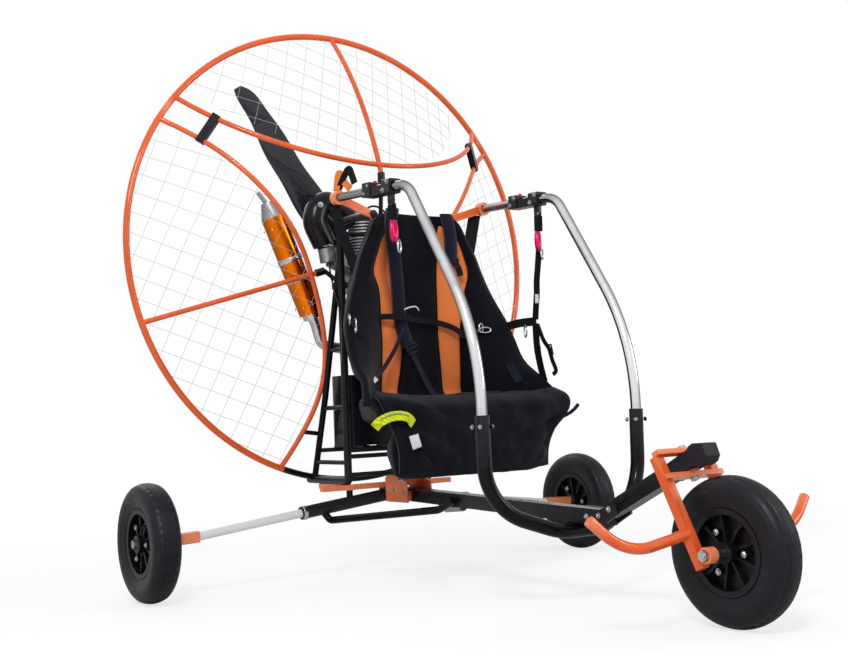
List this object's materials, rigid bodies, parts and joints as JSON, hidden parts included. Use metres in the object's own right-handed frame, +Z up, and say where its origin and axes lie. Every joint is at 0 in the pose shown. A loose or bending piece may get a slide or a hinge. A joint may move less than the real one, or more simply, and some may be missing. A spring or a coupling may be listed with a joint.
{
  "type": "paramotor trike",
  "caption": "Three-wheeled tubular trike with a padded harness seat, a caged pusher propeller and its engine behind, and a steered front fork with foot pegs.",
  "frame": {"origin": "on the ground at the middle of the bounding box", "axes": "+Z up, +Y toward the propeller (rear), +X toward the pilot's left"},
  "size_m": [1.6628, 1.823, 1.7866],
  "materials": {
    "rubber_black": "matte moulded rubber",
    "pad_rubber": "matte rubber",
    "rim_black": "satin black moulded rim",
    "black_paint": "semi-gloss black powder coat",
    "orange_paint": "orange powder coat",
    "white_paint": "gloss white",
    "polished_metal": "polished",
    "zinc": "zinc plated",
    "cast_metal": "cast, sand-blasted",
    "orange_anodised": "orange anodised",
    "black_plastic": "matte black moulding",
    "blade_carbon": "lacquered carbon laminate",
    "harness_fabric": "dark woven nylon"
  },
  "bodies": {
    "chassis": {"airbox": "black_plastic", "arm_bracket_left": "orange_paint", "arm_bracket_right": "orange_paint", "arm_left": "polished_metal", "arm_right": "polished_metal", "axle_frame": "black_paint", "axle_rod_left": "white_paint", "axle_rod_right": "white_paint", "backrest": "harness_fabric", "cage_base_arc": "black_paint", "cage_left": "orange_paint", "cage_right": "orange_paint", "cage_strap_left": "black_plastic", "cage_strap_right": "black_plastic", "cage_top": "orange_paint", "carburettor": "cast_metal", "crankcase": "cast_metal", "cylinder": "cast_metal", "exhaust_pipe": "zinc", "frame_cross_tubes": "black_paint", "frame_side_left": "black_paint", "frame_side_right": "black_paint", "fuel_tank": "black_plastic", "gearbox": "cast_metal", "hang_clamp_left": "black_paint", "hang_clamp_right": "black_paint", "hoop_left": "polished_metal", "hoop_right": "polished_metal", "hub_bracket_left": "orange_paint", "hub_bracket_right": "orange_paint", "joint_plates": "black_paint", "keel": "black_paint", "keel_clamp": "orange_paint", "neck": "black_paint", "neck_pad": "pad_rubber", "seat": "harness_fabric", "seat_bag": "harness_fabric", "silencer": "orange_anodised", "silencer_cap": "cast_metal", "stub_axle_left": "zinc", "stub_axle_right": "zinc", "subframe": "orange_paint", "tank_tray": "black_paint", "u_tube": "black_paint"},
    "wheel_front": {"tyre_front": "rubber_black", "rim_front": "rim_black"},
    "wheel_rear_left": {"tyre_rear_left": "rubber_black", "rim_rear_left": "rim_black"},
    "wheel_rear_right": {"tyre_rear_right": "rubber_black", "rim_rear_right": "rim_black"},
    "fork_body": {"fork": "orange_paint", "front_axle": "zinc", "steering_bolt": "zinc"},
    "propeller": {"propeller_hub": "zinc", "propeller_blade_upper": "blade_carbon", "propeller_blade_lower": "blade_carbon"}
  },
  "joints": [
    {"name": "fork_steer", "type": "hinge", "parent": "chassis", "child": "fork_body", "pos_m": [0, -0.62854, 0.35404], "axis": [0, 0.454, 0.891], "range_deg": [-35, 35]},
    {"name": "front_wheel_spin", "type": "hinge", "parent": "fork_body", "child": "wheel_front", "pos_m": [0, -0.74652, 0.165], "axis": [1, 0, 0], "continuous": true},
    {"name": "rear_left_wheel_spin", "type": "hinge", "parent": "chassis", "child": "wheel_rear_left", "pos_m": [0.786, 0.64648, 0.165], "axis": [1, 0, 0], "continuous": true},
    {"name": "rear_right_wheel_spin", "type": "hinge", "parent": "chassis", "child": "wheel_rear_right", "pos_m": [-0.786, 0.64648, 0.165], "axis": [1, 0, 0], "continuous": true},
    {"name": "propeller_spin", "type": "hinge", "parent": "chassis", "child": "propeller", "pos_m": [0, 0.87748, 1.032], "axis": [0, 0.9995, -0.0323], "continuous": true}
  ]
}
